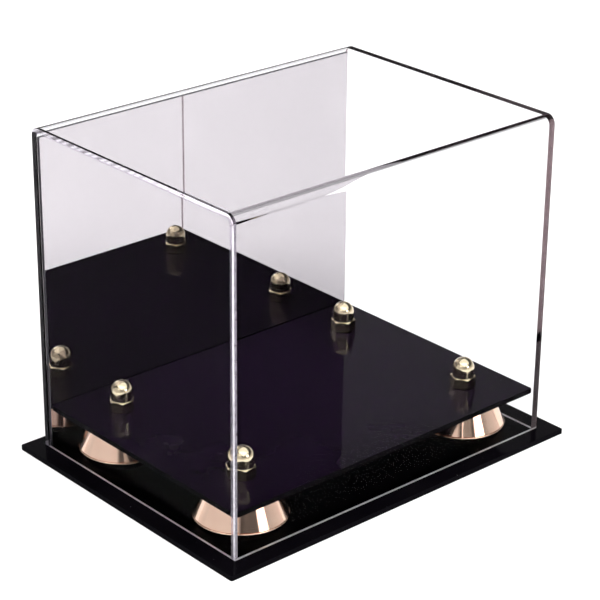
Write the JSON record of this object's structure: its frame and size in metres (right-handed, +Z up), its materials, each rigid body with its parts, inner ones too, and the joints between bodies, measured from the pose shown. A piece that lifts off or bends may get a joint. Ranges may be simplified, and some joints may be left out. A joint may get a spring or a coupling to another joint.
{
  "type": "display case",
  "caption": "Rectangular clear lift-off cover with a mirrored back over a black platform on gold conical risers and a thin black base.",
  "frame": {"origin": "centre of the base's underside", "axes": "+X along the long side to the right, -Y to the clear front, +Y to the mirrored back, +Z up"},
  "size_m": [0.248, 0.186, 0.193],
  "materials": {
    "base_gloss": "gloss",
    "platform_gloss": "gloss",
    "riser_gold": "polished",
    "screw_steel": "satin",
    "nut_brass": "polished",
    "clear_sheet": "clear",
    "mirror_sheet": "mirror",
    "mirror_back": "matt"
  },
  "bodies": {
    "base": {"base_plate": "base_gloss", "platform": "platform_gloss", "riser_front_left": "riser_gold", "riser_front_right": "riser_gold", "riser_back_left": "riser_gold", "riser_back_right": "riser_gold", "screw_front_left": "screw_steel", "screw_front_right": "screw_steel", "screw_back_left": "screw_steel", "screw_back_right": "screw_steel", "cap_nut_front_left": "nut_brass", "cap_nut_front_right": "nut_brass", "cap_nut_back_left": "nut_brass", "cap_nut_back_right": "nut_brass"},
    "cover": {"cover_shell": "clear_sheet", "end_panel_left": "clear_sheet", "end_panel_right": "clear_sheet", "mirror_panel": "mirror_sheet", "mirror_backing": "mirror_back"}
  },
  "joints": [
    {"name": "cover_lift", "type": "slide", "parent": "base", "child": "cover", "axis": [0, 0, 1], "range_m": [0, 0.2]}
  ]
}
